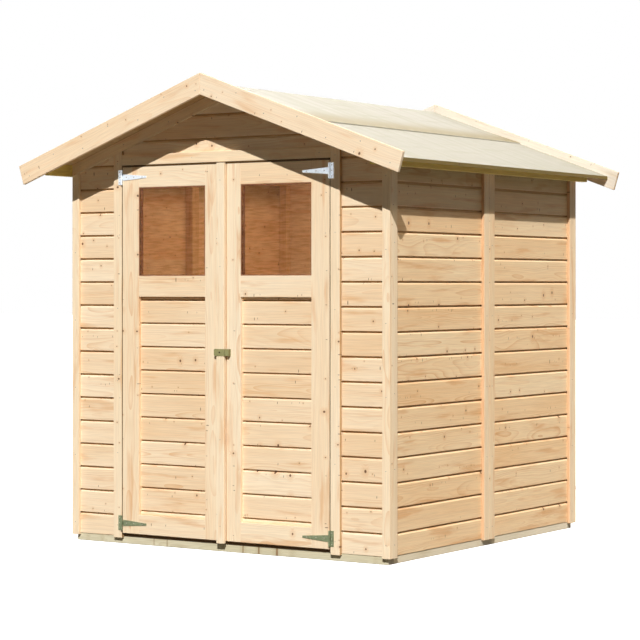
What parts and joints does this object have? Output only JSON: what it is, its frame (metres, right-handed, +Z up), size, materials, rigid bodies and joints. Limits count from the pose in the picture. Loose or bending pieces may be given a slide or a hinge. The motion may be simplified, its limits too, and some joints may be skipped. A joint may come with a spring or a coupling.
{
  "type": "wooden garden shed",
  "caption": "Wooden garden shed with board walls, flat trims, a low ridged roof with barge boards, and a pair of hinged, windowed doors in its gable front.",
  "frame": {"origin": "on the ground under the middle of the walls, on the underside of the middle joist", "axes": "+X to the right along the front, +Y from the doors to the back, +Z up"},
  "size_m": [2.158, 2.12, 2.1938],
  "materials": {
    "wall_boards": "planed untreated spruce",
    "trim": "planed untreated spruce",
    "door_frame": "planed untreated spruce",
    "barge_board": "planed untreated spruce",
    "frame_timber": "sawn spruce",
    "treated_timber": "pressure treated, greenish",
    "base_timber": "sawn, pale grey",
    "floor": "planed boards",
    "roof_sheet": "pale, slightly green",
    "galvanised_iron": "galvanised",
    "latch_iron": "yellow-green passivated",
    "pane": "clear"
  },
  "bodies": {
    "shed": {"base_joists": "base_timber", "base_end_beams": "base_timber", "floor_boards": "floor", "front_wall_left": "wall_boards", "front_wall_right": "wall_boards", "front_gable": "wall_boards", "rear_wall": "wall_boards", "rear_gable": "wall_boards", "left_wall_front": "wall_boards", "left_wall_rear": "wall_boards", "right_wall_front": "wall_boards", "right_wall_rear": "wall_boards", "front_corner_trims": "trim", "rear_trims": "trim", "left_wall_trims": "trim", "right_wall_trims": "trim", "doorway_side_trims": "trim", "doorway_head_trim": "trim", "front_gable_trims": "trim", "rear_gable_trims": "trim", "corner_posts": "frame_timber", "wall_studs": "frame_timber", "doorway_posts": "frame_timber", "top_plates": "frame_timber", "ridge_beam": "frame_timber", "inner_purlins": "frame_timber", "eave_purlins": "treated_timber", "left_roof_lower": "roof_sheet", "left_roof_upper": "roof_sheet", "right_roof_lower": "roof_sheet", "right_roof_upper": "roof_sheet", "front_barge_boards": "barge_board", "rear_barge_boards": "barge_board", "hinge_plates": "galvanised_iron"},
    "left_door": {"left_door_stiles": "door_frame", "left_door_rails": "door_frame", "left_door_boards": "wall_boards", "left_door_pane": "pane", "left_door_straps": "galvanised_iron", "cover_strip": "trim", "latch_plate": "latch_iron"},
    "right_door": {"right_door_stiles": "door_frame", "right_door_rails": "door_frame", "right_door_boards": "wall_boards", "right_door_pane": "pane", "right_door_straps": "galvanised_iron", "latch_keeper": "latch_iron"}
  },
  "joints": [
    {"name": "left_door_hinge", "type": "hinge", "parent": "shed", "child": "left_door", "pos_m": [-0.5925, -0.9055, 0.9], "axis": [0, 0, -1], "range_deg": [0, 120]},
    {"name": "right_door_hinge", "type": "hinge", "parent": "shed", "child": "right_door", "pos_m": [0.5865, -0.9055, 0.9], "axis": [0, 0, 1], "range_deg": [0, 120]}
  ]
}
